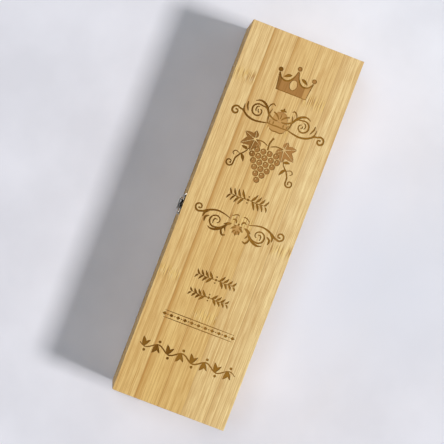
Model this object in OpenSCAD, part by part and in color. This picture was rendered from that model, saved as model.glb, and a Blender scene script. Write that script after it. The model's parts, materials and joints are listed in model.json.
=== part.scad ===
// Hinged wooden gift box for one wine bottle, closed by a small draw clasp.
// +X runs along the box from the head end to the foot end, the clasp is on the front (-Y),
// the hinges are on the back (+Y), +Z is up. The origin is the centre of the underside.

/* [Box] */
// Outside length
box_l = 360; // [340:5:420]
// Outside width
box_w = 108; // [104:1:130]
// Outside height, lid closed
box_h = 103; // [101:1:125]
// Height of the lid, top board included
lid_h = 26; // [24:1:34]

/* [Boards] */
// Thickness of the four walls and of the lid's rails
wall_t = 8; // [7:0.5:10]
// Thickness of the base board
base_t = 5; // [4:0.5:8]
// Thickness of the lid's top board
lid_t = 6; // [4:0.5:8]
// How much of a long wall stays outside an end wall or the base in their rabbets
lap_t = 4; // [3:0.5:5]

/* [Bottle rests] */
// Largest bottle diameter that the rests take
bottle_d = 76; // [70:1:78]
// Diameter of the bottle's neck where it lies in its rest
neck_d = 31; // [28:1:36]
// Wood under the bottle in its rest
rest_floor = 8; // [5:0.5:12]
// Thickness of a rest board
rest_t = 12; // [8:1:18]
// Depth of the housings that hold the rests in the long walls
housing_d = 2; // [1:0.5:3]
// Middle of the neck rest, from the head end
neck_rest_x = 62; // [45:1:90]
// Middle of the bottle rest, from the foot end
bottle_rest_x = 92; // [60:1:130]
// How far the rests stop below the bottle's middle line
rest_drop = 4; // [2:1:10]

/* [Hinges] */
// How far the lid opens before the bevels of its back edge and the wall's meet
lid_open = 105; // [95:1:110]
// Length of a hinge along the box
hinge_l = 28; // [24:1:40]
// Distance of the pin's line from the back face
pin_inset = 2.2; // [2:0.1:2.6]
// Thickness of a leaf
leaf_t = 0.8; // [0.6:0.1:0.9]
// Middle of each hinge, from its end of the box
hinge_x = 75; // [55:1:110]
// Outer radius of a knuckle
knuckle_r = 1.6; // [1.4:0.05:1.8]
// Radius of the hinge pin
hinge_pin_r = 0.8; // [0.6:0.05:0.9]

/* [Clasp] */
// Width of the two clasp plates along the box
plate_w = 20.5; // [20:0.5:26]
// Thickness of the two plates
plate_t = 0.7; // [0.5:0.1:0.9]
// Height of the body plate
base_plate_h = 16; // [15:0.5:18]
// Height of the lid plate
strike_plate_h = 17; // [14:0.5:18]
// Gap from the parting line to each plate
plate_gap = 1.4; // [1:0.1:1.8]
// Width of the lever
lever_w = 7; // [6:0.5:7.5]
// Thickness of the lever's sheet
lever_t = 0.6; // [0.5:0.05:0.7]
// Length of the lever below its pin
lever_l = 14.5; // [12:0.5:17]
// Distance of the lever's bend below its pin
lever_bend = 8.7; // [7.5:0.1:10]
// How far the lever's tip stands off the wall beyond its bend
lever_flare = 0.9; // [0.6:0.1:1.6]
// Height of the lever's pin below the parting line
lever_pin_drop = 7; // [6.5:0.1:8]
// Radius of the lever's pin
lever_pin_r = 0.55; // [0.5:0.05:0.7]
// Thickness of the body plate's two ears
ear_t = 0.7; // [0.5:0.1:0.8]
// Distance of the bail's pivot below the lever's pin
bail_drop = 5; // [4.5:0.1:6]
// Radius of the bail's wire
wire_r = 0.55; // [0.45:0.05:0.6]
// Width of the lid plate's hook
hook_w = 7; // [5:0.5:7.5]
// Height of the hook's floor above the parting line
hook_z = 3.6; // [3:0.1:4.5]
// Height of the hook's upturned lip
lip_h = 3; // [2.5:0.1:4]

/* [Screws] */
// Radius of a clasp screw's shank
shank_r = 0.8; // [0.6:0.05:0.9]
// Length of a clasp screw under its head
screw_l = 6; // [4:0.1:6.6]
// Radius of a clasp screw's head
head_r = 1.5; // [1.3:0.1:1.6]
// Height of a clasp screw's head
head_h = 0.8; // [0.6:0.1:1]
// Radius of a hinge screw's shank
hinge_shank_r = 0.65; // [0.5:0.05:0.8]
// Radius of a hinge screw's countersunk head
hinge_head_r = 1.3; // [1.1:0.05:1.4]
// Length of a hinge screw
hinge_screw_l = 8; // [6:0.5:12]

/* [Hidden] */

$fn = 48;
bamboo = "burlywood";
bamboo_dark = "tan";
nickel = "silver";

// Clearances
eps = 1;                // overshoot of a cut past a face
pivot_gap = 0.05;       // radial running clearance of a pin
seat_gap = 0.02;        // radial clearance of a pin or screw that stays put
hole_gap = 0.1;         // radial clearance of a screw in its plate or leaf
part_gap = 0.35;        // gap between metal pieces that move past each other
side_gap = 0.2;         // gap between the lever's cheeks and the ears
boss_gap = 0.25;        // gap between the lever's cheeks and the body plate
notch_gap = 0.5;        // radial clearance of a bottle in a rest

// Box levels and places
seam_z = box_h - lid_h;                         // parting line
front_y = -box_w / 2;
back_y = box_w / 2;
inner_l = box_l - 2 * wall_t;                   // length of the inside
inner_w = box_w - 2 * wall_t;                   // width of the inside
lap_w = box_w - 2 * lap_t;                      // width of an end wall in its rabbets
lap_l = box_l - 2 * lap_t;                      // length of the base in its rabbets
axis_z = base_t + rest_floor + bottle_d / 2;    // bottle's middle line
rest_top = axis_z - rest_drop;
neck_x = -box_l / 2 + neck_rest_x;
bottle_x = box_l / 2 - bottle_rest_x;

// Hinge places: the pin's line lies in the parting plane, inside a V-groove that runs along the back
hinge_y = back_y - pin_inset;
hinge_xs = [-box_l / 2 + hinge_x, box_l / 2 - hinge_x];
bevel_in = 0.05;                                // the bevels meet this far inside the pin's line
bevel_rise = (pin_inset + bevel_in) * tan(lid_open / 2);
knuckle_gap = 0.2;                              // end gap between two knuckles
mid_knuckle_l = hinge_l / 2;
end_knuckle_l = (hinge_l - mid_knuckle_l) / 2 - knuckle_gap;
knuckle_room = knuckle_r + part_gap;            // what does not turn with a knuckle stays this far off
leaf_w = wall_t - pin_inset;                    // a leaf reaches the wall's inner face
hinge_screw_end = 4;                            // a hinge's screws from its ends
hinge_screw_x = hinge_l / 2 - hinge_screw_end;
hinge_screw_y = hinge_y - (knuckle_room + leaf_w) / 2;

// Clasp places: s is the distance out of the front wall, z the height
lever_z = seam_z - lever_pin_drop;
bail_z = lever_z - bail_drop;
barrel_r = lever_pin_r + pivot_gap + lever_t;   // the lever's sheet is rolled round its pin
boss_wall = 0.45;                               // metal round the bail's pivot in a cheek
bail_boss_r = wire_r + pivot_gap + boss_wall;
lever_pin_out = plate_t + part_gap + barrel_r;
bail_out = plate_t + boss_gap + bail_boss_r;
ear_x = lever_w / 2 + side_gap;                 // inner face of an ear
leg_x = ear_x + ear_t + part_gap + wire_r;      // middle of a bail leg
bend_r = 0.9;                                   // bend of the bail's wire, to its middle
lip_t = plate_t;
hook_floor_z = seam_z + hook_z + lip_t;         // top of the hook's floor
wire_play = 0.2;                                // room beside the wire in the hook
trough_w = 2 * wire_r + wire_play;
hook_out = plate_t + trough_w + lip_t;          // reach of the hook
seat_s = plate_t + trough_w / 2;                // wire's place when it is hooked
seat_z = hook_floor_z + wire_r;
bail_l = sqrt(pow(seat_z - bail_z, 2) + pow(seat_s - bail_out, 2));
rest_s = hook_out + part_gap + wire_r;          // wire's place just outside the hook
plate_margin = 0.4;                             // metal beside a screw's head
clasp_screw_x = plate_w / 2 - head_r - plate_margin;
plate_screw_end = 3;                            // the screws from a plate's upper and lower edge
base_plate_top = seam_z - plate_gap;
base_screw_zs = [base_plate_top - plate_screw_end, base_plate_top - base_plate_h + plate_screw_end];
strike_bottom = seam_z + plate_gap;
strike_screw_z = strike_bottom + strike_plate_h - plate_screw_end;

// Directions that the screws' slots were left in, in degrees
body_leaf_turn = 35;
lid_leaf_turn = 70;
base_plate_turn = 20;
strike_plate_turn = 55;

// ---------------------------------------------------------------- helpers

// Box between two corners
module block(low, high) {
    translate(low) cube(high - low);
}

// Cylinder along X between two X values
module rod_x(x0, x1, r) {
    translate([x0, 0, 0]) rotate([0, 90, 0]) cylinder(h = x1 - x0, r = r);
}

// Extrudes an outline of (out, up) points along X, centred, from the front wall
module from_front(width) {
    translate([-width / 2, front_y, 0])
        rotate([90, 0, 90]) mirror([1, 0, 0]) linear_extrude(height = width) children();
}

// Rounded plate outline of the two clasp plates, centred on X
module plate_outline(width, height, corner_r) {
    difference() {
        translate([-width / 2, 0]) square([width, height]);
        for (sx = [-1, 1], top = [0, 1])
            translate([sx * (width / 2 - corner_r), top ? height - corner_r : corner_r])
                difference() {
                    translate([sx > 0 ? 0 : -corner_r - eps, top ? 0 : -corner_r - eps])
                        square(corner_r + eps);
                    circle(corner_r);
                }
    }
}

// Slotted screw whose head sits at the origin and whose shank runs along -Z
module screw(slot_turn) {
    slot_w = 0.5;
    slot_d = 0.4;
    edge = 0.3;
    tip = 1;
    tip_r = 0.3;
    difference() {
        union() {
            cylinder(h = head_h - edge, r = head_r);
            translate([0, 0, head_h - edge]) cylinder(h = edge, r1 = head_r, r2 = head_r - edge);
        }
        rotate(slot_turn) translate([-head_r - eps, -slot_w / 2, head_h - slot_d])
            cube([2 * (head_r + eps), slot_w, slot_d + eps]);
    }
    translate([0, 0, tip - screw_l]) cylinder(h = screw_l - tip, r = shank_r);
    translate([0, 0, -screw_l]) cylinder(h = tip, r1 = tip_r, r2 = shank_r);
}

// Countersunk slotted screw whose flat face lies at the origin and whose shank runs along -Z
module flat_screw(slot_turn) {
    slot_w = 0.4;
    slot_d = 0.35;
    tip = 1;
    tip_r = 0.2;
    difference() {
        translate([0, 0, -leaf_t]) cylinder(h = leaf_t, r1 = hinge_shank_r, r2 = hinge_head_r);
        rotate(slot_turn) translate([-hinge_head_r - eps, -slot_w / 2, -slot_d])
            cube([2 * (hinge_head_r + eps), slot_w, slot_d + eps]);
    }
    translate([0, 0, tip - hinge_screw_l]) cylinder(h = hinge_screw_l - tip - leaf_t, r = hinge_shank_r);
    translate([0, 0, -hinge_screw_l]) cylinder(h = tip, r1 = tip_r, r2 = hinge_shank_r);
}

// Places for the screws of the hinges: side is -1 for the body leaves, 1 for the lid leaves
module at_hinge_screws(side) {
    for (hx = hinge_xs, sx = [-1, 1])
        translate([hx + sx * hinge_screw_x, hinge_screw_y, seam_z])
            rotate([side > 0 ? 180 : 0, 0, 0]) children();
}

// Places for the screws of the clasp's plates, at the heights given
module at_clasp_screws(heights) {
    for (z = heights, sx = [-1, 1])
        translate([sx * clasp_screw_x, front_y - plate_t, z]) rotate([90, 0, 0]) children();
}

// Pilot hole for a screw of the given length and shank, from its head's seat
module pilot(length, r) {
    translate([0, 0, -length - seat_gap]) cylinder(h = length + seat_gap + eps, r = r + seat_gap);
}

// ---------------------------------------------------------------- boards

// Long wall or rail with rabbets for the end pieces; side is -1 at the front, 1 at the back
module long_board(side, z0, z1) {
    outer = side * box_w / 2;
    inner = side * inner_w / 2;
    difference() {
        block([-box_l / 2, min(outer, inner), z0], [box_l / 2, max(outer, inner), z1]);
        for (low_x = [-box_l / 2 - eps, inner_l / 2])
            block([low_x, -lap_w / 2, z0 - eps], [low_x + wall_t + eps, lap_w / 2, z1 + eps]);
    }
}

// End wall or rail; side is -1 at the head, 1 at the foot
module end_board(side, z0, z1) {
    outer = side * box_l / 2;
    inner = side * inner_l / 2;
    block([min(outer, inner), -lap_w / 2, z0], [max(outer, inner), lap_w / 2, z1]);
}

// Base board, or with an overshoot below it the rabbets that hold it
module base_board(below) {
    block([-lap_l / 2, -lap_w / 2, -below], [lap_l / 2, lap_w / 2, base_t]);
}

// Blank of a bottle rest at x, with its ends in the walls' housings
module rest_blank(x) {
    half_w = inner_w / 2 + housing_d;
    block([x - rest_t / 2, -half_w, base_t], [x + rest_t / 2, half_w, rest_top]);
}

module rest_board(x, opening_d) {
    difference() {
        rest_blank(x);
        translate([x, 0, axis_z]) rotate([0, 90, 0])
            cylinder(h = rest_t + 2 * eps, d = opening_d + 2 * notch_gap, center = true, $fn = 96);
    }
}

module base_panel() {
    color(bamboo_dark) base_board(0);
}

// Bevel of the back edge at the parting line: side is -1 for the wall, 1 for the lid's rail
module back_bevel(side) {
    over = 1 + eps / pin_inset;
    translate([-box_l / 2 - eps, hinge_y - bevel_in, seam_z]) rotate([90, 0, 90])
        linear_extrude(height = box_l + 2 * eps) polygon([
            [0, 0], [over * (pin_inset + bevel_in), 0],
            [over * (pin_inset + bevel_in), side * over * bevel_rise]
        ]);
}

// Room that the hinges take in a back edge: side is -1 in the wall, 1 in the lid's rail
module hinge_room(side) {
    for (hx = hinge_xs) translate([hx, hinge_y, seam_z]) {
        rod_x(-hinge_l / 2, hinge_l / 2, knuckle_room);
        block([-hinge_l / 2, -leaf_w - eps, min(0, side * leaf_t)],
              [hinge_l / 2, 0, max(0, side * leaf_t)]);
    }
    at_hinge_screws(side) pilot(hinge_screw_l, hinge_shank_r);
}

module long_wall(side) {
    difference() {
        long_board(side, 0, seam_z);
        base_board(eps);
        rest_blank(neck_x);
        rest_blank(bottle_x);
    }
}

module front_panel() {
    color(bamboo) difference() {
        long_wall(-1);
        at_clasp_screws(base_screw_zs) pilot(screw_l, shank_r);
    }
}

module back_panel() {
    color(bamboo) difference() {
        long_wall(1);
        back_bevel(-1);
        hinge_room(-1);
    }
}

module end_wall(side) {
    color(bamboo) difference() {
        end_board(side, 0, seam_z);
        base_board(eps);
    }
}

module head_panel() { end_wall(-1); }

module foot_panel() { end_wall(1); }

module neck_rest() {
    color(bamboo_dark) rest_board(neck_x, neck_d);
}

module bottle_rest() {
    color(bamboo_dark) rest_board(bottle_x, bottle_d);
}

module lid_panel() {
    color(bamboo) block([-box_l / 2, front_y, box_h - lid_t], [box_l / 2, back_y, box_h]);
}

module lid_front_rail() {
    color(bamboo) difference() {
        long_board(-1, seam_z, box_h - lid_t);
        at_clasp_screws([strike_screw_z]) pilot(screw_l, shank_r);
    }
}

module lid_back_rail() {
    color(bamboo) difference() {
        long_board(1, seam_z, box_h - lid_t);
        back_bevel(1);
        hinge_room(1);
    }
}

module lid_head_rail() {
    color(bamboo) end_board(-1, seam_z, box_h - lid_t);
}

module lid_foot_rail() {
    color(bamboo) end_board(1, seam_z, box_h - lid_t);
}

// ---------------------------------------------------------------- hinges

// Leaf of a hinge with its knuckles: side is -1 for the body leaf, 1 for the lid leaf
module leaf(side, knuckles, pin_gap, hx) {
    low = min(0, side * leaf_t);
    high = max(0, side * leaf_t);
    color(nickel) difference() {
        translate([hx, hinge_y, seam_z]) difference() {
            union() {
                block([-hinge_l / 2, -leaf_w, low], [hinge_l / 2, -knuckle_room, high]);
                for (k = knuckles) {
                    block([k[0], -knuckle_room, low], [k[1], 0, high]);
                    rod_x(k[0], k[1], knuckle_r);
                }
            }
            rod_x(-hinge_l, hinge_l, hinge_pin_r + pin_gap);
        }
        at_hinge_screws(side) translate([0, 0, -leaf_t])
            cylinder(h = leaf_t, r1 = hinge_shank_r + hole_gap, r2 = hinge_head_r + hole_gap);
    }
}

module body_leaf(hx) {
    far = hinge_l / 2;
    leaf(-1, [[-far, -far + end_knuckle_l], [far - end_knuckle_l, far]], seat_gap, hx);
}

module lid_leaf(hx) {
    leaf(1, [[-mid_knuckle_l / 2, mid_knuckle_l / 2]], pivot_gap, hx);
}

module hinge_pin(hx) {
    color(nickel) translate([hx, hinge_y, seam_z]) rod_x(-hinge_l / 2, hinge_l / 2, hinge_pin_r);
}

module head_hinge_body_leaf() { body_leaf(hinge_xs[0]); }

module head_hinge_lid_leaf() { lid_leaf(hinge_xs[0]); }

module head_hinge_pin() { hinge_pin(hinge_xs[0]); }

module foot_hinge_body_leaf() { body_leaf(hinge_xs[1]); }

module foot_hinge_lid_leaf() { lid_leaf(hinge_xs[1]); }

module foot_hinge_pin() { hinge_pin(hinge_xs[1]); }

module hinge_body_screws() {
    color(nickel) at_hinge_screws(-1) flat_screw(body_leaf_turn);
}

module hinge_lid_screws() {
    color(nickel) at_hinge_screws(1) flat_screw(lid_leaf_turn);
}

// ---------------------------------------------------------------- clasp

// Upright plate on the front wall, from z0 upwards
module front_plate(z0, height) {
    corner_r = 1.5;
    translate([0, front_y, z0]) rotate([90, 0, 0])
        linear_extrude(height = plate_t) plate_outline(plate_w, height, corner_r);
}

module screw_holes(heights) {
    at_clasp_screws(heights)
        translate([0, 0, -plate_t - eps]) cylinder(h = plate_t + 2 * eps, r = shank_r + hole_gap);
}

// Side view of an ear of the body plate
module ear_outline() {
    translate([lever_pin_out, lever_z]) circle(barrel_r);
    translate([plate_t / 2, lever_z - barrel_r]) square([lever_pin_out - plate_t / 2, 2 * barrel_r]);
}

module clasp_base() {
    color(nickel) difference() {
        union() {
            front_plate(base_plate_top - base_plate_h, base_plate_h);
            for (sx = [-1, 1])
                translate([sx * (ear_x + ear_t / 2), 0, 0]) from_front(ear_t) ear_outline();
        }
        translate([0, front_y - lever_pin_out, lever_z])
            rod_x(-ear_x - 2 * ear_t, ear_x + 2 * ear_t, lever_pin_r + seat_gap);
        screw_holes(base_screw_zs);
    }
}

// Side view of the lever's sheet: down from its rolled top, in towards the wall, out at the tip
module lever_sheet_outline() {
    top_s = lever_pin_out + barrel_r;
    bend_s = top_s - lever_t;
    bend_z = lever_z - lever_bend;
    tip_z = lever_z - lever_l;
    polygon([
        [top_s, lever_z], [bend_s, bend_z], [bend_s + lever_flare, tip_z],
        [bend_s + lever_flare - lever_t, tip_z], [bend_s - lever_t, bend_z],
        [top_s - lever_t, lever_z]
    ]);
}

// Side view of a cheek of the lever, with both its pivots
module cheek_outline() {
    top_s = lever_pin_out + barrel_r;
    low_z = bail_z - bail_boss_r;
    translate([bail_out, bail_z]) circle(bail_boss_r);
    polygon([
        [top_s, lever_z], [lever_pin_out - barrel_r, lever_z],
        [bail_out - bail_boss_r, bail_z], [bail_out, low_z],
        [top_s - lever_t * (lever_z - low_z) / lever_bend, low_z]
    ]);
}

// Front view of the lever: straight sides and a round tip
module lever_front() {
    tip_r = lever_w / 2;
    tip_z = lever_z - lever_l + tip_r;
    translate([0, tip_z]) circle(tip_r);
    translate([-lever_w / 2, tip_z]) square([lever_w, lever_z + 2 * barrel_r - tip_z]);
}

module clasp_lever() {
    color(nickel) difference() {
        union() {
            intersection() {
                from_front(lever_w) lever_sheet_outline();
                translate([0, front_y, 0]) rotate([90, 0, 0])
                    linear_extrude(height = 2 * lever_l) lever_front();
            }
            for (sx = [-1, 1])
                translate([sx * (lever_w - lever_t) / 2, 0, 0]) from_front(lever_t) cheek_outline();
            translate([0, front_y - lever_pin_out, lever_z])
                rod_x(-lever_w / 2, lever_w / 2, barrel_r);
        }
        translate([0, front_y - lever_pin_out, lever_z])
            rod_x(-lever_w, lever_w, lever_pin_r + pivot_gap);
        translate([0, front_y - bail_out, bail_z])
            rod_x(-lever_w, lever_w, wire_r + pivot_gap);
    }
}

module clasp_lever_pin() {
    proud = 0.1;                        // riveted ends stand a little out of the ears
    far = ear_x + ear_t + proud;
    color(nickel) translate([0, front_y - lever_pin_out, lever_z]) rod_x(-far, far, lever_pin_r);
}

// Quarter bend of the bail's wire in the XZ plane, from angle a0 onwards
module wire_bend(a0) {
    rotate([90, 0, 0]) rotate([0, 0, a0]) rotate_extrude(angle = 90) translate([bend_r, 0]) circle(wire_r);
}

// Half of the bail: a foot in the lever's cheek, a leg and half of the bar that hooks over the lip
module half_bail() {
    foot_proud = 0.2;                   // a foot's end inside the lever
    foot_in = lever_w / 2 - lever_t - foot_proud;
    bend_x = leg_x - bend_r;
    rod_x(foot_in, bend_x, wire_r);
    translate([bend_x, 0, bend_r]) wire_bend(-90);
    translate([leg_x, 0, bend_r]) cylinder(h = bail_l - 2 * bend_r, r = wire_r);
    translate([bend_x, 0, bail_l - bend_r]) wire_bend(0);
    translate([0, 0, bail_l]) rod_x(-eps, bend_x, wire_r);
}

module clasp_bail() {
    lean = asin((rest_s - bail_out) / bail_l);
    color(nickel) translate([0, front_y - bail_out, bail_z]) rotate([lean, 0, 0]) {
        half_bail();
        mirror([1, 0, 0]) half_bail();
    }
}

// Side view of the hook: a floor and an upturned lip with a rounded top
module hook_outline() {
    lip_s = hook_out - lip_t;
    translate([plate_t / 2, hook_floor_z - lip_t]) square([hook_out - plate_t / 2, lip_t]);
    translate([lip_s, hook_floor_z - lip_t]) square([lip_t, lip_h + lip_t / 2]);
    translate([lip_s + lip_t / 2, hook_floor_z + lip_h - lip_t / 2]) circle(lip_t / 2);
}

module clasp_strike() {
    color(nickel) difference() {
        union() {
            front_plate(strike_bottom, strike_plate_h);
            from_front(hook_w) hook_outline();
        }
        screw_holes([strike_screw_z]);
    }
}

module clasp_base_screws() {
    color(nickel) at_clasp_screws(base_screw_zs) screw(base_plate_turn);
}

module clasp_strike_screws() {
    color(nickel) at_clasp_screws([strike_screw_z]) screw(strike_plate_turn);
}

base_panel();
front_panel();
back_panel();
head_panel();
foot_panel();
neck_rest();
bottle_rest();
lid_panel();
lid_front_rail();
lid_back_rail();
lid_head_rail();
lid_foot_rail();
head_hinge_body_leaf();
head_hinge_lid_leaf();
head_hinge_pin();
foot_hinge_body_leaf();
foot_hinge_lid_leaf();
foot_hinge_pin();
hinge_body_screws();
hinge_lid_screws();
clasp_base();
clasp_lever();
clasp_lever_pin();
clasp_bail();
clasp_strike();
clasp_base_screws();
clasp_strike_screws();
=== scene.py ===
"""Looks of the hinged bamboo wine box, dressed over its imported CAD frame, in metres."""

import json
import math

import bmesh
import bpy
from mathutils import Matrix, Vector
from mathutils.geometry import tessellate_polygon


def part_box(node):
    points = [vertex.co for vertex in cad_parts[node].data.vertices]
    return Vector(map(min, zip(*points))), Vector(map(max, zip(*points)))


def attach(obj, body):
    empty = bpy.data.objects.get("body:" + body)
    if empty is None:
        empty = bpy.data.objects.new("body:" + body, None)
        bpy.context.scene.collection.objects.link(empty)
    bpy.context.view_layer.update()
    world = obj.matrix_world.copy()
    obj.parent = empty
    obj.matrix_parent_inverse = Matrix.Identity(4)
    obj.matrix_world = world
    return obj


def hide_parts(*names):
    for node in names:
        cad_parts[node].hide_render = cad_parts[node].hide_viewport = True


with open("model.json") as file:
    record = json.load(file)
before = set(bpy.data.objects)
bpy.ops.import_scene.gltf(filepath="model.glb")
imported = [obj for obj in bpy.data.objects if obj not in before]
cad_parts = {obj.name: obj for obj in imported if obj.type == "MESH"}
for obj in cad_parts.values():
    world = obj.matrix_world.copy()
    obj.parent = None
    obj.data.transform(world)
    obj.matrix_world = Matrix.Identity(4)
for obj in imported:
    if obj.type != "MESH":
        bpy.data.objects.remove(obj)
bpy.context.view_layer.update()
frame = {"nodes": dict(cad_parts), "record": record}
nodes = frame["nodes"]

MM = 0.001

# ---------------------------------------------------------------- camera


def make_camera():
    """The photograph's view: from straight above and a little past the clasp's side."""
    place = Vector((0.0252, -0.1102, 2.0245))
    lens = 171.6
    tip, tilt, roll = math.radians(0.67), math.radians(-2.83), math.radians(20.96)
    # before its turns the camera looks straight down, with +Y to the right and -X up
    base = Matrix(((0, -1, 0), (1, 0, 0), (0, 0, 1)))
    turn = (
        Matrix.Rotation(tip, 3, "X")
        @ Matrix.Rotation(tilt, 3, "Y")
        @ Matrix.Rotation(roll, 3, "Z")
    )
    data = bpy.data.cameras.new("camera")
    data.sensor_width = 36
    data.lens = lens
    camera = bpy.data.objects.new("camera", data)
    camera.matrix_world = Matrix.Translation(place) @ (base @ turn).to_4x4()
    bpy.context.scene.collection.objects.link(camera)
    bpy.context.scene.camera = camera


make_camera()

# ---------------------------------------------------------------- node trees


class Nodes:
    """A node tree, with short calls for the nodes that the studio and the materials use."""

    def __init__(self, tree):
        self.tree = tree

    def add(self, kind, *inputs, **settings):
        """Adds a node; its inputs follow in the order of its sockets, and None leaves one alone."""
        made = self.tree.nodes.new("ShaderNode" + kind)
        for key, value in settings.items():
            setattr(made, key, value)
        for socket, value in zip(made.inputs, inputs):
            self.feed(socket, value)
        return made

    def feed(self, socket, value):
        """Links another node's output to a socket, or sets the socket to a plain value."""
        if isinstance(value, bpy.types.NodeSocket):
            self.tree.links.new(value, socket)
        elif value is not None:
            socket.default_value = value

    def maths(self, operation, a, b=None, c=None):
        return self.add("Math", a, b, c, operation=operation).outputs[0]

    def choose(self, share, a, b):
        """A number between a and b."""
        return self.add("Mix", share, None, a, b).outputs[0]

    def mix(self, share, a, b):
        """A colour between a and b."""
        made = self.add("Mix", data_type="RGBA")
        for index, value in ((0, share), (6, a), (7, b)):
            self.feed(made.inputs[index], value)
        return made.outputs[2]

    def noise(self, place, detail=2.0, roughness=0.5):
        scale = 1.0
        return self.add("TexNoise", place, None, scale, detail, roughness).outputs[0]

    def remap(self, value, low, high, to_low=0.0, to_high=1.0):
        """Maps low..high to to_low..to_high, held at both ends."""
        return self.add("MapRange", value, low, high, to_low, to_high).outputs[0]


# ---------------------------------------------------------------- light

KEY_RISE = math.radians(55.3)   # height of the main light, behind the box
SKY = (0.87, 0.934, 1)
BACKDROP = 0.75                 # brightness of what the camera sees past the floor
# The studio's walls give way to its ceiling between two heights of a ray, given as sines: the two
# heights, the walls' brightness and the ceiling's. Reflections see brighter walls.
STUDIO_REFLECTED = (0.3, 0.7, 0.4, 0.01)
STUDIO_OTHERWISE = (0.75, 0.92, 0.09, 0.01)


def area_light(name, toward, distance, width, height, power, colour=SKY):
    """A soft rectangle that shines at the box from the direction given."""
    data = bpy.data.lights.new(name, "AREA")
    data.shape = "RECTANGLE"
    data.size, data.size_y = width, height
    data.energy = power
    data.color = colour
    lamp = bpy.data.objects.new(name, data)
    direction = Vector(toward).normalized()
    lamp.location = direction * distance
    lamp.rotation_euler = direction.to_track_quat("Z", "Y").to_euler()
    lamp.visible_camera = False
    bpy.context.scene.collection.objects.link(lamp)
    return lamp


def make_lamps():
    """The main light from behind the box, which throws its shadow, and weak ones to fill it."""
    behind = (0, math.cos(KEY_RISE), math.sin(KEY_RISE))
    area_light("key", behind, 12, 1.9, 2.05, 980, (0.99, 0.985, 1))
    overhead = area_light("overhead", (-0.04, -0.15, 1), 4, 1.5, 1.5, 49)
    overhead.visible_glossy = False
    # it only lights up the edges of the metal that face the head end
    gleam = area_light("gleam", (-1, -0.2, 0.2), 4, 1.6, 1.6, 100, (1, 0.96, 0.93))
    gleam.visible_diffuse = False
    area_light("window", (-0.4, -0.7, 1), 4, 1, 1, 6)
    area_light("corner", (-0.38, 0.23, 0.22), 0.5, 0.2, 0.2, 0.13, (0.85, 1, 1))


def make_world():
    """A studio with pale walls under a dark ceiling, and a pale backdrop for the camera."""
    world = bpy.data.worlds.new("studio")
    bpy.context.scene.world = world
    world.use_nodes = True
    studio = Nodes(world.node_tree)
    direction = studio.add("TexCoord").outputs["Generated"]
    height = studio.add("SeparateXYZ", direction).outputs["Z"]
    ray = studio.add("LightPath").outputs
    otherwise = studio.remap(height, *STUDIO_OTHERWISE)
    reflected = studio.remap(height, *STUDIO_REFLECTED)
    strength = studio.choose(ray["Is Glossy Ray"], otherwise, reflected)
    strength = studio.choose(ray["Is Camera Ray"], strength, BACKDROP)
    background = studio.tree.nodes["Background"]
    studio.feed(background.inputs["Color"], (*SKY, 1))
    studio.feed(background.inputs["Strength"], strength)
    bpy.context.scene.view_settings.view_transform = "Standard"


make_lamps()
make_world()

# ---------------------------------------------------------------- materials


def rgb(red, green, blue):
    """An sRGB colour in 0..255 as Blender's linear colour."""
    parts = [value / 255 for value in (red, green, blue)]
    return (*[p / 12.92 if p <= 0.04045 else ((p + 0.055) / 1.055) ** 2.4 for p in parts], 1)


class Shader(Nodes):
    """A material's nodes."""

    def __init__(self, name):
        self.material = bpy.data.materials.new(name)
        self.material.use_nodes = True
        super().__init__(self.material.node_tree)
        self.surface = self.tree.nodes["Principled BSDF"]
        self.place = self.add("TexCoord").outputs["Object"]

    def scaled(self, x, y, z):
        """The place on the object, with each axis drawn out or pressed together."""
        return self.add("VectorMath", self.place, (x, y, z), operation="MULTIPLY").outputs[0]

    def bump(self, height, strength, distance):
        """Normals that a height, up to the distance given, would have."""
        made = self.add("Bump")
        for name, value in (("Strength", strength), ("Distance", distance), ("Height", height)):
            self.feed(made.inputs[name], value)
        return made.outputs[0]

    def finish(self, **values):
        """Sets the surface's own sockets, by name with _ for a space, and gives the material."""
        for name, value in values.items():
            self.feed(self.surface.inputs[name.replace("_", " ")], value)
        return self.material


STRIP = 22.7 * MM       # width of one bamboo strip in a board
STRIP_SHIFT = 3.71      # how far each strip's noise is moved on from its neighbour's
DARKEST_EDGE = 0.6      # how dark a strip's first edge is at most, where it's left to chance
KNUCKLE = 7.5 * MM      # half length of a knuckle's mark along its strip
KNUCKLE_STEP = 0.2      # a knuckle about every so far along a strip
RAGGED = 6 * MM         # how far a knuckle's edge strays
BOARD_END = 0.15        # how far from a board's middle its colours stop changing
BAMBOO_LIGHT = rgb(255, 231, 174)
BAMBOO_DARK = rgb(234, 194, 122)
BAMBOO_GOLD = rgb(250, 214, 118)
BAMBOO_STREAK = rgb(188, 131, 58)
BAMBOO_DASH = rgb(164, 106, 42)
BAMBOO_GLUE = rgb(160, 108, 50)
BAMBOO_GLINT = rgb(255, 238, 196)
BURNT_PALE = rgb(208, 160, 94)
BURNT_TONES = (0.4, 0.55, 0.2, 0.1, 0.05)   # how dark the laser left each strip
BURNT_REACH = 16 * MM                       # it cut paler so near a knuckle


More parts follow.
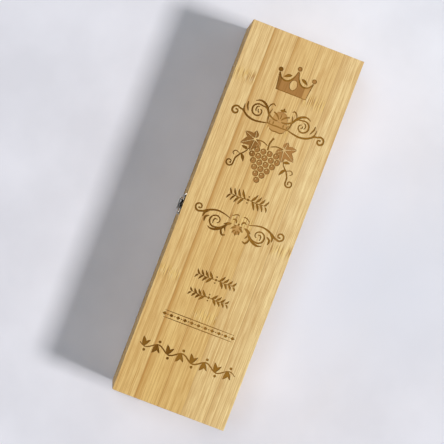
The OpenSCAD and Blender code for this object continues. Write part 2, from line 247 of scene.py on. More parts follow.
class Bamboo(Shader):
    """Boards glued up from flat bamboo strips. The grain runs along one axis and the strips lie
    side by side along another, each with its own tone, fibres and knuckles."""

    def __init__(
        self, name, grain, across, first, seed, tones=(), edges=(), knuckles=(), reach=KNUCKLE
    ):
        """The first strip begins at the place first; tones, edges and knuckles are given strip by
        strip, or left to chance."""
        super().__init__(name)
        self.reach = reach
        axes = dict(zip("XYZ", self.add("SeparateXYZ", self.place).outputs))
        self.along = axes.pop(grain)
        self.over = axes.pop(across)
        (self.into,) = axes.values()
        strips_in = self.maths("DIVIDE", self.maths("SUBTRACT", self.over, first), STRIP)
        self.strip = self.maths("FLOOR", strips_in)
        self.in_strip = self.maths("FRACT", strips_in)
        number = self.maths("ADD", self.strip, seed)
        self.shift = self.maths("MULTIPLY", number, STRIP_SHIFT)
        chance = self.add("TexWhiteNoise", None, number, noise_dimensions="1D").outputs[0]
        self.tone = self.drifting(*tones) if tones else chance
        self.edge = self.listed(edges) if edges else self.maths("MULTIPLY", chance, DARKEST_EDGE)
        self.fibres = self.streaks(45, 0.5 * MM, 2)
        self.threads = self.streaks(6, 1.15 * MM, 2)
        self.bands = self.streaks(4, 6 * MM, 1)
        self.mottle = self.streaks(60, 4 * MM, 3)
        self.ragged = self.maths("MULTIPLY_ADD", self.fibres, 2 * RAGGED, -RAGGED)
        self.knuckle = self.listed_knuckles(knuckles) if knuckles else self.own_knuckles(chance)

    def drifting(self, first_tones, last_tones):
        """Each strip's tone, which changes along the board from one list's to the other's."""
        share = self.remap(self.along, -BOARD_END, BOARD_END)
        return self.mix(share, self.listed(first_tones), self.listed(last_tones))

    def listed(self, values):
        """Each strip's value from the list, by the strip's number."""
        place = self.maths("DIVIDE", self.maths("ADD", self.strip, 0.5), len(values))
        ramp = self.add("ValToRGB", place)
        ramp.color_ramp.interpolation = "CONSTANT"
        stops = ramp.color_ramp.elements
        while len(stops) < len(values):
            stops.new(1)
        for index, value in enumerate(values):
            stops[index].position = index / len(values)
            stops[index].color = (value, value, value, 1)
        return ramp.outputs[0]

    def stretched(self, along, across):
        """The place on the board in steps of so many to the metre, along and across the grain."""
        return self.add(
            "CombineXYZ",
            self.maths("MULTIPLY_ADD", self.along, along, self.shift),
            self.maths("MULTIPLY", self.over, across),
            self.maths("MULTIPLY", self.into, across),
        ).outputs[0]

    def streaks(self, per_metre, width, detail):
        """Noise drawn out along the grain into streaks of that width."""
        return self.noise(self.stretched(per_metre, 1 / width), detail=detail, roughness=0.6)

    def near(self, away):
        """1 where a place along the grain is at a knuckle, falling to 0 past its ragged edge."""
        away = self.maths("ABSOLUTE", self.maths("ADD", away, self.ragged))
        return self.remap(away, self.reach, 0.2 * self.reach)

    def listed_knuckles(self, knuckles):
        """Knuckles at (strip, place along the grain), each across its own strip."""
        total = 0.0
        for strip, centre in knuckles:
            mine = self.maths("COMPARE", self.strip, strip, 0.1)
            here = self.near(self.maths("SUBTRACT", self.along, centre))
            total = self.maths("MULTIPLY_ADD", here, mine, total)
        return total

    def own_knuckles(self, chance):
        """Knuckles at even steps along each strip, which starts at a place of its own."""
        steps = self.maths("MULTIPLY_ADD", self.along, 1 / KNUCKLE_STEP, chance)
        past = self.maths("FRACT", steps)
        return self.near(self.maths("MULTIPLY_ADD", past, KNUCKLE_STEP, -KNUCKLE_STEP / 2))

    def wood(self):
        """The board's colour, from its tones, streaks, knuckles and glue lines."""
        colour = self.mix(self.tone, BAMBOO_DARK, BAMBOO_LIGHT)
        golden = self.remap(self.along, -BOARD_END, BOARD_END, 0, 0.2)
        colour = self.mix(golden, colour, BAMBOO_GOLD)
        # each noise darkens the wood by the share given, where it rises from low to high
        for noise, low, high, share in (
            (self.mottle, 0.35, 0.7, 0.22),
            (self.bands, 0.45, 0.75, 0.2),
            (self.threads, 0.45, 0.65, 0.46),
            (self.fibres, 0.45, 0.65, 0.5),
        ):
            colour = self.mix(self.remap(noise, low, high, 0, share), colour, BAMBOO_STREAK)
        seam = self.maths("MULTIPLY_ADD", self.threads, 0.25, self.in_strip)
        seam = self.maths("MULTIPLY", self.edge, self.remap(seam, 0.32, 0.12))
        colour = self.mix(seam, colour, BAMBOO_STREAK)
        colour = self.mix(self.remap(self.knuckle, 0, 1, 0, 0.3), colour, BAMBOO_GOLD)
        # dark and pale marks at the knuckles, of so many to the metre along and across
        for along, across, low, high, share, tint in (
            (55, 1500, 0.46, 0.66, 0.8, BAMBOO_DASH),
            (130, 1700, 0.52, 0.8, 0.4, BAMBOO_GLINT),
        ):
            marks = self.noise(self.stretched(along, across), detail=0)
            marks = self.remap(marks, low, high, 0, share)
            colour = self.mix(self.maths("MULTIPLY", self.knuckle, marks), colour, tint)
        side = self.maths("ABSOLUTE", self.maths("SUBTRACT", self.in_strip, 0.5))
        return self.mix(self.remap(side, 0.478, 0.5, 0, 0.5), colour, BAMBOO_GLUE)

    def relief(self, strength=0.3):
        """Fine raised fibres and knuckles for the light to catch."""
        height = self.maths("MULTIPLY_ADD", self.knuckle, 0.4, self.fibres)
        return self.bump(height, strength, 0.1 * MM)

    def sanded(self):
        """A bare, finely sanded board."""
        rough = self.remap(self.threads, 0.3, 0.7, 0.52, 0.68)
        return self.finish(
            Base_Color=self.wood(),
            Roughness=rough,
            Specular_IOR_Level=0.2,
            Normal=self.relief(),
        )

    def burnt(self, light, dark, fade):
        """Wood that a laser has cut away and browned, some strips more than others, and paler, by
        the share fade, near a knuckle."""
        streaky = self.remap(self.fibres, 0.35, 0.7, 0, 0.3)
        share = self.maths("ADD", streaky, self.listed(BURNT_TONES))
        colour = self.mix(share, light, dark)
        colour = self.mix(self.remap(self.knuckle, 0, 0.6, 0, fade), colour, BURNT_PALE)
        rough = self.remap(self.fibres, 0.3, 0.7, 0.6, 0.8)
        return self.finish(
            Base_Color=colour,
            Roughness=rough,
            Specular_IOR_Level=0.1,
            Normal=self.relief(0.6),
        )


def nickel(name, light, dark, smooth, rough):
    """Plated metal with soft tarnish and fine handling marks, in places smooth, in others rough."""
    shader = Shader(name)
    cloud = shader.noise(shader.scaled(260, 260, 260), detail=4)
    marks = shader.noise(shader.scaled(2600, 700, 700), detail=2)
    colour = shader.mix(shader.remap(cloud, 0.35, 0.7), light, dark)
    gloss = shader.remap(marks, 0.35, 0.7, smooth, rough)
    return shader.finish(
        Base_Color=colour,
        Metallic=1.0,
        Roughness=gloss,
        Normal=shader.bump(marks, 0.06, 0.02 * MM),
    )


LID_STRIPS_START = -1.9 * MM    # the first strip lost this much at the clasp edge
# tones of the lid's strips at the head end and at the foot end
LID_TONES = ((0.62, 0.42, 0.28, 0.38, 0.7), (0.34, 0.16, 0.22, 0.86, 1.0))
LID_EDGES = (0.1, 0.75, 0.6, 0.25, 0.35)    # how dark each strip's first edge is
# the strip and the millimetres down the lid of each knuckle
LID_KNUCKLES = ((0, 50), (0, 242), (2, 84), (2, 176), (2, 269), (3, 52), (4, 188))


def lid_materials():
    """The lid's board, and the floors of engraved areas, of engraved lines and the cuts' walls;
    the walls are burnt, and darkened further with painted shade.
    """
    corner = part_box("lid_panel")[0]
    settings = dict(
        grain="X",
        across="Y",
        first=corner.y + LID_STRIPS_START,
        seed=3,
        tones=LID_TONES,
        edges=LID_EDGES,
        knuckles=[(strip, corner.x + down * MM) for strip, down in LID_KNUCKLES],
    )
    burnt = dict(settings, reach=BURNT_REACH)
    return (
        Bamboo("bamboo_lid_board", **settings).sanded(),
        Bamboo("burnt_area", **burnt).burnt(rgb(190, 137, 76), rgb(122, 80, 26), 0.75),
        Bamboo("burnt_line", **burnt).burnt(rgb(164, 116, 42), rgb(98, 56, 1), 0.15),
        # the walls: burnt darker than the floors, and darker again with painted shade in the cuts
        Bamboo("burnt_wall_and_painted_shade", **burnt).burnt(rgb(134, 88, 22), rgb(82, 44, 1), 0.15),
    )


FLOOR_REACH = 12


def make_floor():
    """A pale floor with painted cool shade behind the box, to make up for the light off its warm
    back wall.
    """
    shader = Shader("floor")
    cloud = shader.noise(shader.scaled(9, 9, 9), detail=4)
    colour = shader.mix(shader.remap(cloud, 0.35, 0.65), rgb(228, 226, 231), rgb(239, 237, 242))
    # painted shade: cooler, darker spots, round or long where X is pressed together, which fade in
    # from rim to core
    for centre, press, rim, core, share, tint in (
        ((0, 0.14, 0), 1, 0.13, 0.02, 0.9, rgb(222, 224, 233)),
        ((0, 0.08, 0), 0.35, 0.075, 0.02, 0.6, rgb(224, 230, 245)),
    ):
        place = shader.scaled(press, 1, 1)
        away = shader.add("VectorMath", place, centre, operation="DISTANCE").outputs["Value"]
        colour = shader.mix(shader.remap(away, rim, core, 0, share), colour, tint)
    far = FLOOR_REACH
    corners = [(-far, -far, 0), (far, -far, 0), (far, far, 0), (-far, far, 0)]
    mesh = bpy.data.meshes.new("floor")
    mesh.from_pydata(corners, [], [(0, 1, 2, 3)])
    material = shader.finish(Base_Color=colour, Roughness=0.8, Specular_IOR_Level=0.25)
    mesh.materials.append(material)
    floor = bpy.data.objects.new("floor", mesh)
    bpy.context.scene.collection.objects.link(floor)


make_floor()

# ---------------------------------------------------------------- CAD nodes

BOARD_EDGE = 0.4 * MM   # eased edges of the boards
METAL_EDGE = 0.08 * MM  # broken edges of the fittings


def ease(obj, width, segments):
    """Rounds an object's sharp edges, once its flat sides are single faces again."""
    obj.modifiers.new("weld", "WELD").merge_threshold = 0.001 * MM
    flat = obj.modifiers.new("flat", "DECIMATE")
    flat.decimate_type = "DISSOLVE"
    flat.angle_limit = math.radians(0.2)
    edge = obj.modifiers.new("edge", "BEVEL")
    edge.width = width
    edge.segments = segments
    edge.limit_method = "ANGLE"
    edge.angle_limit = math.radians(40)


def dress(names, material, width, segments=2):
    """Gives CAD nodes their material and rounds their edges."""
    for name in names:
        slot = nodes[name].material_slots[0]
        slot.link = "OBJECT"
        slot.material = material
        ease(nodes[name], width, segments)


def dress_nodes():
    """Wood and nickel for every CAD node; lid_panel is left to the engraved board."""
    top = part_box("lid_panel")[0].z
    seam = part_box("front_panel")[1].z
    wall_tones = ((0.2, 0.05, 0.3), (0.1, 0.3, 0.2))
    rail_tones = ((0.15, 0.0), (0.0, 0.1))
    for nodes_alike, board in (
        (
            ["front_panel", "back_panel"],
            Bamboo("bamboo_long_walls", "X", "Z", seam - 3 * STRIP, 11, wall_tones),
        ),
        (["head_panel", "foot_panel"], Bamboo("bamboo_end_walls", "Y", "Z", seam - 3 * STRIP, 23)),
        (
            ["lid_front_rail", "lid_back_rail"],
            Bamboo("bamboo_long_rails", "X", "Z", top - 2 * STRIP, 37, rail_tones),
        ),
        (["lid_head_rail", "lid_foot_rail"], Bamboo("bamboo_end_rails", "Y", "Z", top - STRIP, 41)),
        (["base_panel"], Bamboo("bamboo_base", "X", "Y", -2.4 * STRIP, 53)),
        (["neck_rest", "bottle_rest"], Bamboo("bamboo_rests", "Y", "Z", 0, 67)),
    ):
        dress(nodes_alike, board.sanded(), BOARD_EDGE)
    plate = nickel("nickel_plate", rgb(230, 228, 224), rgb(204, 199, 192), 0.08, 0.22)
    screw = nickel("nickel_screws", rgb(218, 214, 208), rgb(178, 172, 162), 0.5, 0.65)
    slots = {subpart["node"]: subpart["material_slot"] for subpart in frame["record"]["subparts"]}
    dress([name for name in slots if slots[name] == "nickel"], plate, METAL_EDGE)
    dress([name for name in slots if slots[name] == "nickel_screw"], screw, METAL_EDGE, 1)


dress_nodes()

# ---------------------------------------------------------------- engraving

# The engraving is drawn on the lid in millimetres: across from its clasp edge, then down from its
# head end.

LINE_DEPTH = 0.65 * MM  # of engraved lines
AREA_DEPTH = 0.45 * MM  # of engraved areas
CUT_SLOPE = 0.08        # how far the walls lean in, in millimetres
CUT_OVER = 0.3 * MM     # how far the cutters reach above the lid
CUT_APART = 0.2         # cutters nearer than this, in millimetres, aren't cut together
FACE_SKIN = 0.01 * MM   # faces nearer than this to the board's face belong to it


def curve(points, steps=7):
    """A smooth line through the points (Catmull-Rom)."""
    ends = [points[0], *points, points[-1]]
    line = []
    for p0, p1, p2, p3 in zip(ends, ends[1:], ends[2:], ends[3:]):
        for step in range(steps):
            t = step / steps
            line.append(tuple(
                0.5 * (2 * b + (c - a) * t + (2 * a - 5 * b + 4 * c - d) * t * t
                       + (3 * b - a - 3 * c + d) * t ** 3)
                for a, b, c, d in zip(p0, p1, p2, p3)
            ))
    return [*line, points[-1]]


def spiral(centre, radius, start, turn, end_radius, late=1.5):
    """Points round a centre from the angle start, over turn degrees, winding to end_radius; the
    higher late is, the later the radius changes."""
    steps_per_turn = 24
    count = round(abs(turn) / 360 * steps_per_turn)
    points = []
    for step in range(count + 1):
        t = step / count
        r = radius + (end_radius - radius) * t ** late
        angle = math.radians(start + turn * t)
        points.append((centre[0] + r * math.cos(angle), centre[1] + r * math.sin(angle)))
    return points


def stroke(line, start, middle, end):
    """The outline of a line whose width swells from start to middle and ends at end."""
    left, right = [], []
    last = len(line) - 1
    for index, (x, y) in enumerate(line):
        before, after = line[max(index - 1, 0)], line[min(index + 1, last)]
        dx, dy = after[0] - before[0], after[1] - before[1]
        size = math.hypot(dx, dy) or 1
        t = index / last
        near_end = start if t < 0.5 else end
        half = (near_end + (middle - near_end) * math.sin(math.pi * t) ** 0.8) / 2
        left.append((x - dy / size * half, y + dx / size * half))
        right.append((x + dy / size * half, y - dx / size * half))
    return left + right[::-1]


def dot(centre, radius, steps=14, squash=1.0, lean=0.0):
    """A round or, with squash, an oval outline that leans by an angle in degrees."""
    points = []
    cos, sin = math.cos(math.radians(lean)), math.sin(math.radians(lean))
    for step in range(steps):
        angle = 2 * math.pi * step / steps
        x, y = radius * math.cos(angle), radius * squash * math.sin(angle)
        points.append((centre[0] + x * cos - y * sin, centre[1] + x * sin + y * cos))
    return points


def leaf(base, tip, width, bow=0.0):
    """A pointed leaf from base to tip, bowed to one side."""
    steps, blunt = 7, 0.12
    dx, dy = tip[0] - base[0], tip[1] - base[1]
    length = math.hypot(dx, dy)
    nx, ny = -dy / length, dx / length
    left, right = [], []
    for step in range(steps + 1):
        t = step / steps
        mid = bow * math.sin(math.pi * t)
        half = width / 2 * math.sin(math.pi * t ** 0.8) ** 0.9 + blunt
        x, y = base[0] + dx * t, base[1] + dy * t
        left.append((x + nx * (mid + half), y + ny * (mid + half)))
        right.append((x + nx * (mid - half), y + ny * (mid - half)))
    return left + right[::-1]


def sweep(points, start, middle, end, tail=()):
    """A stroke along the smooth line through the points, and on along the tail."""
    return stroke(curve(points) + list(tail), start, middle, end)


def mirrored(outlines, middle):
    """The outlines with their copies on the other side of a line down the lid."""
    return outlines + [[(2 * middle - x, y) for x, y in outline[::-1]] for outline in outlines]


CORONET_MIDDLE = 55.6


def coronet_lines():
    """The two small leaves above the coronet's body, the shadows under its scalloped edge, and the
    ball that is burnt all over."""
    return mirrored([
        leaf((60.2, 35.3), (67.1, 39.0), 2.7, -0.4),
        sweep(
            [(57, 34.6), (59.2, 38.9), (62, 41.3), (65.4, 42), (69, 40.4), (71.3, 38)],
            0.6, 1.5, 0.7,
        ),
    ], CORONET_MIDDLE) + [dot((39.3, 33.4), 2.1)]


def coronet():
    """A small coronet: a body with an oval eye, and three balls above its spikes."""
    middle = CORONET_MIDDLE
    scallop = [(56.4, 30.2), (57.6, 34.2), (59.6, 38), (62.2, 40.5), (65.4, 41.2), (68.8, 39.7)]
    half = [*curve([*scallop, (71.2, 35.8)], 4), (72.4, 36.1), (71.2, 44), (70.2, 52.1)]
    body = half + [(2 * middle - x, y) for x, y in half[::-1]]
    eye = dot((55.1, 43.4), 4.6, 18, 0.72, 90)
    balls = mirrored([dot((71.9, 33.4), 2.2)], middle) + [dot((middle, 27.4), 2.15)]
    return [(body, eye)] + [(ball, None) for ball in balls]


def upper_scrolls():
    """The scrolls below the coronet, to both sides of a basket with a fan of leaves."""
    middle = 54.9
    curl = spiral((14.1, 82.9), 4.1, -50, -400, 0.9)
    big = spiral((33.1, 75.8), 5.6, -70, -330, 2.2, late=4)
    half = [
        sweep([(22.6, 82.2), (19.6, 80.3)], 1.1, 1.9, 1.0, curl),
        dot(curl[-1], 0.9),
        sweep(
            [(46, 83.3), (40, 84.9), (33, 85.8), (27, 84.7), (22.6, 82.2), (20.4, 79), (20, 74.4)],
            0.7, 1.9, 0.4,
        ),
        sweep([(22.3, 71.2), (22.7, 75.2), (24.9, 79.9)], 0.4, 1.6, 0.3),
        sweep([(41.8, 73), (38.9, 70.9)], 0.5, 1.6, 0.8, big),
        sweep([(33.8, 71.9), (31.5, 73.2), (30.9, 75.8), (31.8, 77.6)], 0.3, 1.3, 0.3),
        sweep([(33.1, 74.8), (33.4, 76.8), (34.7, 77.9)], 0.4, 1.1, 0.3),
        sweep(
            [(28.2, 68.3), (32.6, 66.6), (37.2, 67.9), (40.8, 71.2), (43.3, 75.3), (47, 78.2)],
            0.4, 2.3, 0.7,
        ),
        sweep([(45.2, 69.8), (43.9, 75.4), (44.2, 80), (45.3, 83.4)], 0.3, 1.5, 0.8),
        sweep([(46.7, 66.8), (44.8, 65.5), (42.3, 67.2), (41.2, 70.4)], 0.4, 1.3, 0.5),
        sweep([(44.4, 76), (47, 77.7), (50.2, 78.7), (53.2, 78.7)], 1.1, 1.7, 0.7),
        sweep([(49.8, 80.2), (50.1, 81.8), (49.8, 83)], 0.7, 1.3, 0.7),
        sweep([(47.2, 72.2), (49.6, 73), (52, 74.8), (53.9, 77.4)], 0.9, 1.7, 0.6),
        sweep([(46.6, 80.6), (46.8, 82), (46.6, 83)], 0.6, 1.0, 0.6),
    ]
    whole = [
        leaf((middle, 76.8), (middle, 71.4), 0.8),
        leaf((52.0, 69.0), (58.4, 68.4), 2.1, -0.3),
        dot((middle + 0.5, 66.9), 0.9),
        sweep([(45, 83.6), (49.8, 83.9), (middle, 83.7), (60, 83.9), (64.8, 83.6)], 1.0, 1.5, 1.0),
        sweep([(48.2, 87.4), (51, 88.8), (middle, 88.6), (59, 88.8), (61.8, 87.3)], 0.6, 1.3, 0.6),
    ]
    return mirrored(half, middle) + whole


def upper_areas():
    """The pale ground of the basket and of the fan of leaves in it."""
    basket = [
        (45.2, 79.4), (64.6, 79.4), (63.6, 84.6), (61.2, 88.2),
        (57.4, 89.2), (52.4, 89.2), (48.6, 88.2), (46.2, 84.6),
    ]
    fan = [
        (47.4, 79.2), (48.4, 74.4), (50.8, 70.6), (54.9, 69.4),
        (59, 70.6), (61.4, 74.4), (62.4, 79.2),
    ]
    return [basket, fan]


def lower_scrolls():
    """The scrolls above the dedication's place, to both sides of a rosette."""
    middle = 53.8
    curl = spiral((14.6, 176.7), 4.0, 62, 395, 0.9)
    big = spiral((32.9, 183.9), 5.5, 76, 322, 1.9, late=4)
    half = [
        sweep(
            [(44.6, 176.9), (38.6, 175), (32.2, 174.2), (26.8, 175.3), (22, 177.5), (18.8, 179.6)],
            0.6, 1.9, 1.0, curl,
        ),
        dot(curl[-1], 0.9),
        sweep([(47.4, 181), (43.2, 184), (39.4, 187.5), (36.6, 188.9)], 0.9, 1.6, 0.8, big),
        sweep([(34.2, 182.1), (31.8, 182), (30.8, 184), (31.1, 186.8)], 0.3, 1.4, 0.3),
        leaf((47.8, 180.9), (40.6, 183.9), 2.2, 0.3),
        sweep(
            [(27.5, 190.6), (31.4, 191.8), (36, 190.7), (40.4, 187.8), (43.6, 184.2)],
            0.4, 2.2, 0.7,
        ),
        sweep([(40.2, 187.4), (40.6, 191), (42.7, 193.5), (45.4, 192.7)], 0.7, 1.9, 0.7),
        sweep([(42.7, 185), (43.1, 187.3), (44.3, 189.6)], 0.4, 1.3, 0.4),
        sweep([(23.8, 177.5), (20.9, 180), (20.3, 184.2)], 0.7, 1.9, 0.4),
        sweep([(26, 180.9), (22.7, 183.4), (22.9, 187.7)], 0.3, 1.9, 0.4),
        sweep([(45.6, 174), (48, 172.2), (50.2, 171.4), (51.8, 172)], 0.5, 1.1, 0.4),
        sweep([(51.2, 179.3), (50.9, 177.2), (49.2, 176.2), (47, 177)], 0.4, 1.7, 0.4),
        leaf((52.6, 182.4), (48, 185.6), 1.7, 0.5),
        leaf((53, 185), (50.2, 188.6), 1.3, 0.4),
        leaf((52.4, 181.6), (49.6, 181.2), 1.1),
    ]
    whole = [
        dot((middle, 179.6), 1.0),
        leaf((middle, 185.6), (middle, 190.4), 1.5),
    ]
    return mirrored(half, middle) + whole


def lower_areas():
    """The pale ground behind the rosette."""
    return [[
        (50.4, 181), (53.8, 180.2), (57.2, 181), (58, 184.6),
        (56.4, 188.4), (53.8, 189.4), (51.2, 188.4), (49.6, 184.6),
    ]]


def turned(points, centre, angle, scale):
    """The points scaled and turned about the origin by degrees, then moved to centre."""
    cos, sin = scale * math.cos(math.radians(angle)), scale * math.sin(math.radians(angle))
    return [(centre[0] + x * cos - y * sin, centre[1] + x * sin + y * cos) for x, y in points]


# the lean, the length and the width of each lobe of a vine leaf
VINE_LOBES = ((0, 13, 7.2), (52, 11, 6.2), (-52, 11, 6.2), (112, 7.6, 5), (-112, 7.6, 5))
VEIN = 0.32     # half the gap between the two halves of a lobe, at its root


def half_lobe(lean, length, width, side):
    """The half of a leaning lobe that lies on one side of its vein, from the leaf's middle."""
    across, down = math.sin(math.radians(lean)), math.cos(math.radians(lean))

    def beside(along, out):
        """The point so far along the vein and so far out from it."""
        return (along * across + out * down, along * down - out * across)

    def bulging(end, out):
        """The point halfway from an end to the widest place, moved out."""
        return (
            (end[0] + widest[0]) / 2 + side * out * down,
            (end[1] + widest[1]) / 2 - side * out * across,
        )

    root = beside(1.1, VEIN * side)
    widest = beside(0.45 * length, side * width / 2)
    tip = beside(length, VEIN * side * 0.4)
    edge = curve([root, bulging(root, 0.5), widest, bulging(tip, 0.55), tip], 3)
    return edge if side > 0 else edge[::-1]


def vine_leaf(centre, angle, scale):
    """A vine leaf of five pointed lobes, each in two halves."""
    halves = [half_lobe(*lobe, side) for lobe in VINE_LOBES for side in (-1, 1)]
    return [turned(half, centre, angle, scale) for half in halves]


def grapes(middle):
    """A bunch of grapes under two vine leaves, with tendrils to both sides: its berries, each with
    the spot that stays, its leaves and its twigs."""
    rows = (4, 5, 4, 3, 2, 1)
    berry, spot = 2.75, 0.75
    top, step_x, step_y = 109.5, 6.1, 5.25
    berries = []
    for row, count in enumerate(rows):
        for place in range(count):
            x, y = middle + (place - (count - 1) / 2) * step_x, top + row * step_y
            berries.append((dot((x, y), berry, 18), dot((x - 0.7, y - 0.7), spot, 8)))
    curl = spiral((25.2, 128.8), 3.6, -15, 400, 1.0)
    leaves = mirrored(vine_leaf((40.2, 101.6), 58, 1.08), middle)
    half = [
        sweep([(52.6, 103.2), (47.4, 101.2), (41, 101.5)], 0.7, 1.1, 0.7),
        sweep([(38.2, 109.6), (35.6, 115), (31.6, 119.2), (29, 123.8)], 0.5, 1.5, 0.8, curl),
        dot(curl[-1], 0.9),
        sweep([(31.5, 118.6), (27.4, 117.2), (25.4, 119.6), (27.3, 121.3)], 0.5, 1.0, 0.6),
        leaf((36.8, 112.6), (30.6, 111.4), 2.6, 0.5),
        leaf((32.6, 117.8), (36.8, 124.6), 2.6, -0.5),
    ]
    stalk = sweep([(middle, 107), (middle - 0.4, 100.5), (middle + 1.6, 94.6)], 1.6, 1.5, 2.2)
    return berries, leaves, mirrored(half, middle) + [stalk]


def sprig(middle, down, reach, width):
    """Two leafy twigs that meet at a bud, each half as long as the reach."""
    tip = middle - reach / 2
    twig = [(middle - 1.6, down), (middle - reach / 4, down + 0.6), (tip + 1, down - 0.3)]
    half = [sweep(twig, 0.9, 0.8, 0.4)]
    for step in range(round(reach / 2 / 4.4)):
        at = middle - 3 - step * 4.2
        size = 1 - 0.09 * step
        rise = width * 0.46 * size
        half.append(leaf((at, down), (at - 4.3 * size, down - rise), 2.1 * size, -0.5))
        half.append(leaf((at - 1, down + 0.4), (at - 5 * size, down + rise), 2.1 * size, 0.5))
    buds = ((0, 1.2), (-2.9, 0.75), (2.9, 0.75))
    return mirrored(half, middle) + [dot((middle, down + by), radius) for by, radius in buds]


def beads(middle, down, reach):
    """A row of lozenges with dots between, between two fine lines."""
    step, gap = 6.6, 3.2
    count = int(reach / 2 / step)
    whole = []
    for place in range(-count, count + 1):
        at = middle + place * step
        whole.append(dot((at, down), 2.1, 4, 0.8))
        if place < count:
            whole.append(dot((at + step / 2, down), 0.6, 10))
    for y in (down - gap, down + gap):
        points = [(middle - reach / 2, y), (middle, y), (middle + reach / 2, y)]
        whole.append(stroke(curve(points, 4), 0.4, 0.8, 0.4))
    return whole


def running_vine(first, last, down, height):
    """A waving stem with two leaves and a berry at each bend."""
    bends, steps = 8, 8
    step = (last - first) / bends
    sway = height * 0.19
    stem = [
        (first + step * t / steps, down + sway * math.sin(math.pi * t / steps))
        for t in range(steps * bends + 1)
    ]
    parts = [stroke(stem, 0.8, 1.4, 0.8)]
    for bend in range(bends):
        side = 1 if bend % 2 == 0 else -1
        x = first + step * (bend + 0.35)
        root = (x, down + side * sway * 0.9)
        parts.append(leaf(root, (x - 2.4, down - side * height * 0.42), 3.6, 0.6 * side))
        parts.append(leaf(root, (x + 4.6, down - side * height * 0.30), 2.6, -0.5 * side))
        parts.append(dot((x + 1.6, down + side * (sway + 3)), 1.3))
    return parts


def area(outline, island, rim):
    """An area cut shallow, round an island that stays, with a deeper line along each edge."""
    over = 0.05
    outline = anticlockwise(outline)
    cuts = [(outline, island, AREA_DEPTH), (inset(outline, -over), inset(outline, rim), LINE_DEPTH)]
    if island:
        island = anticlockwise(island)
        cuts.append((inset(island, -rim * 0.7), inset(island, over), LINE_DEPTH))
    return cuts


def motifs():
    """Everything engraved on the lid: an outline, a part inside it that stays or None, a depth."""
    lines = coronet_lines() + upper_scrolls() + sprig(53.7, 155.5, 38, 16) + lower_scrolls()
    lines += sprig(52.5, 234, 38, 12.5) + sprig(52, 251.3, 32, 11)
    lines += beads(52.6, 278.5, 66.7) + running_vine(8, 100, 310.3, 14.5)
    berries, leaves, twigs = grapes(54.2)
    cuts = [(outline, None, LINE_DEPTH) for outline in lines + twigs]
    cuts += [(outline, None, AREA_DEPTH) for outline in leaves + upper_areas() + lower_areas()]
    for outline, island in coronet():
        cuts += area(outline, island, 0.75)
    for outline, island in berries:
        cuts += area(outline, island, 0.5)
    return cuts


def inset(outline, by):
    """The points of an anticlockwise outline moved inwards, or of a clockwise one outwards."""
    moved = []
    for index, (x, y) in enumerate(outline):
        before, after = outline[index - 1], outline[(index + 1) % len(outline)]
        dx, dy = after[0] - before[0], after[1] - before[1]
        size = math.hypot(dx, dy) or 1
        moved.append((x - dy / size * by, y + dx / size * by))
    return moved


def anticlockwise(outline):
    """The outline in the order that gives it a positive area."""
    pairs = zip(outline, outline[1:] + outline[:1])
    area = sum(a[0] * b[1] - b[0] * a[1] for a, b in pairs)
    return outline if area > 0 else outline[::-1]


def add_cutter(into, outline, hole, depth, corner):
    """Adds a closed cutter to a bmesh: as wide as the outline at the lid's face, narrower below."""
    loops = [anticlockwise(outline)] + ([anticlockwise(hole)[::-1]] if hole else [])
    low, high = corner.z - depth, corner.z + CUT_OVER
    rings = []
    for height, by in ((low, CUT_SLOPE), (high, -CUT_SLOPE * CUT_OVER / depth)):
        ring = []
        for loop in loops:
            ring.append([
                into.verts.new((corner.x + down * MM, corner.y + across * MM, height))
                for across, down in inset(loop, by)
            ])
        rings.append(ring)
    flat = [[Vector((x, y, 0)) for x, y in loop] for loop in loops]
    for ring in rings:
        verts = [vert for loop in ring for vert in loop]
        for triangle in tessellate_polygon(flat):
            into.faces.new([verts[index] for index in triangle])
    for lower, upper in zip(*rings):
        for index in range(len(lower)):
            into.faces.new([lower[index - 1], lower[index], upper[index], upper[index - 1]])


def apart(items):
    """Sorts outlines into few groups, in each of which none comes near another."""
    groups = []
    for item in items:
        xs, ys = zip(*item[0])
        low_x, low_y = min(xs) - CUT_APART, min(ys) - CUT_APART
        high_x, high_y = max(xs) + CUT_APART, max(ys) + CUT_APART
        for group in groups:
            if all(
                high_x < others[0] or others[2] < low_x or high_y < others[1] or others[3] < low_y
                for others, _ in group
            ):
                break
        else:
            group = []
            groups.append(group)
        group.append(((low_x, low_y, high_x, high_y), item))
    return [[item for _, item in group] for group in groups]


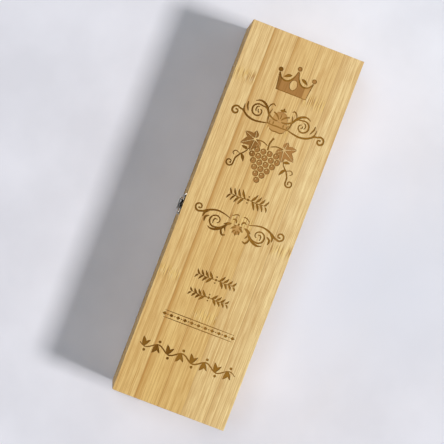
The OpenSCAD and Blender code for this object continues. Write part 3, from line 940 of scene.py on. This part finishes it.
def shown(name, shape):
    """A new object in the scene from a bmesh, which is used up."""
    mesh = bpy.data.meshes.new(name)
    shape.to_mesh(mesh)
    shape.free()
    made = bpy.data.objects.new(name, mesh)
    bpy.context.scene.collection.objects.link(made)
    return made


def lid_board(low, high):
    """The lid's plain board between two corners, with eased edges."""
    shape = bmesh.new()
    place = Matrix.LocRotScale((low + high) / 2, None, high - low)
    bmesh.ops.create_cube(shape, size=1, matrix=place)
    bmesh.ops.bevel(
        shape, geom=shape.edges[:], offset=BOARD_EDGE, segments=3, profile=0.5, affect="EDGES"
    )
    return shown("engraved_lid", shape)


def engrave(board, corner):
    """Cuts the motifs into the board and gives its new mesh."""
    cutters = []
    for group in apart(motifs()):
        shape = bmesh.new()
        for outline, hole, depth in group:
            add_cutter(shape, outline, hole, depth, corner)
        if any(not edge.is_manifold for edge in shape.edges):
            raise ValueError("an engraved outline crosses itself")
        bmesh.ops.recalc_face_normals(shape, faces=shape.faces)
        cutters.append(shown("cutter", shape))
        cut = board.modifiers.new("cut", "BOOLEAN")
        cut.object = cutters[-1]
        cut.operation = "DIFFERENCE"
        cut.solver = "MANIFOLD"
    graph = bpy.context.evaluated_depsgraph_get()
    carved = bpy.data.meshes.new_from_object(board.evaluated_get(graph))
    board.modifiers.clear()
    board.data = carved
    for cutter in cutters:
        bpy.data.objects.remove(cutter)
    return carved


def paint(carved, low, high):
    """Gives the engraving's floors and walls their own materials."""
    carved.materials.clear()
    for material in lid_materials():
        carved.materials.append(material)
    area_floor, line_floor, wall = 1, 2, 3
    between_floors = high.z - (AREA_DEPTH + LINE_DEPTH) / 2
    for face in carved.polygons:
        x, y, z = face.center
        inside = low.x + MM < x < high.x - MM and low.y + MM < y < high.y - MM
        if inside and low.z + MM < z < high.z - FACE_SKIN:
            floor = area_floor if z > between_floors else line_floor
            face.material_index = floor if face.normal.z > 0.9 else wall


def engraved_lid():
    """The lid's top board with the engraving cut into it, in place of its plain CAD node."""
    low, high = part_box("lid_panel")
    board = lid_board(low, high)
    paint(engrave(board, Vector((low.x, low.y, high.z))), low, high)
    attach(board, "lid")
    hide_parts("lid_panel")


engraved_lid()
